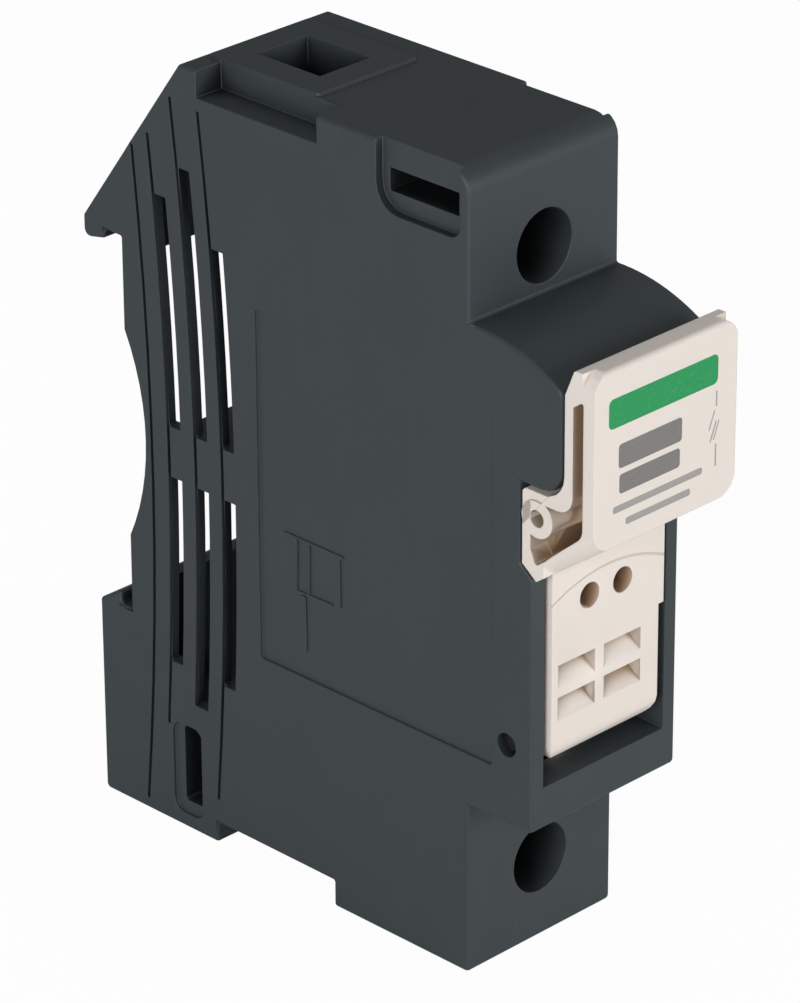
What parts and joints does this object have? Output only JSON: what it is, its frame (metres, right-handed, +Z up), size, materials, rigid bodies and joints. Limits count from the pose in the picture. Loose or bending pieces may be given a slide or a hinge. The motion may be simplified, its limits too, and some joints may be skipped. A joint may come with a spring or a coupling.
{
  "type": "din rail fuse holder",
  "caption": "One-module fuse holder for a 35 mm rail, with a pivoting drawer for a cylindrical fuse link and a screw terminal at each end.",
  "frame": {"origin": "on the plane of the rail's front face, midway across the width, level with the middle of the rail", "axes": "-Y towards the front where the drawer opens, +Z up along the holder's height, +X across the module towards the side with the cover"},
  "size_m": [0.0176, 0.0596, 0.0732],
  "materials": {
    "dark_plastic": "fine satin moulding",
    "ivory_plastic": "smooth moulding",
    "pin_steel": "blackened",
    "ceramic": "unglazed ceramic",
    "nickel_plate": "nickel plated",
    "silver_plate": "silver plated",
    "spring_steel": "bare strip",
    "copper": "bare copper",
    "zinc_steel": "zinc plated"
  },
  "bodies": {
    "housing": {"case": "dark_plastic", "side_cover": "dark_plastic", "hinge_pin_near": "pin_steel", "hinge_pin_far": "pin_steel", "upper_clip": "silver_plate", "lower_clip": "silver_plate", "upper_clip_spring": "spring_steel", "lower_clip_spring": "spring_steel", "upper_bar": "copper", "lower_bar": "copper", "upper_clip_rivet": "copper", "lower_clip_rivet": "copper"},
    "drawer": {"drawer": "ivory_plastic", "fuse_tube": "ceramic", "fuse_cap_top": "nickel_plate", "fuse_cap_bottom": "nickel_plate"},
    "upper_screw": {"upper_screw": "zinc_steel"},
    "lower_screw": {"lower_screw": "zinc_steel"},
    "upper_cage": {"upper_cage": "zinc_steel"},
    "lower_cage": {"lower_cage": "zinc_steel"}
  },
  "joints": [
    {"name": "drawer_pivot", "type": "hinge", "parent": "housing", "child": "drawer", "pos_m": [0, -0.04547, -0.014], "axis": [1, 0, 0], "range_deg": [0, 90]},
    {"name": "upper_screw_turn", "type": "hinge", "parent": "housing", "child": "upper_screw", "pos_m": [0, -0.0255, 0.0265], "axis": [0, 1, 0], "range_deg": [0, 1800]},
    {"name": "lower_screw_turn", "type": "hinge", "parent": "housing", "child": "lower_screw", "pos_m": [0, -0.0255, -0.0298], "axis": [0, 1, 0], "range_deg": [0, 1800]},
    {"name": "upper_cage_slide", "type": "slide", "parent": "housing", "child": "upper_cage", "axis": [0, -1, 0], "range_m": [0, 0.004]},
    {"name": "lower_cage_slide", "type": "slide", "parent": "housing", "child": "lower_cage", "axis": [0, -1, 0], "range_m": [0, 0.004]}
  ],
  "couplings": [
    {"joint": "upper_screw_turn", "follows": "upper_cage_slide", "rad_per_m": 7853.9},
    {"joint": "lower_screw_turn", "follows": "lower_cage_slide", "rad_per_m": 7853.9}
  ]
}
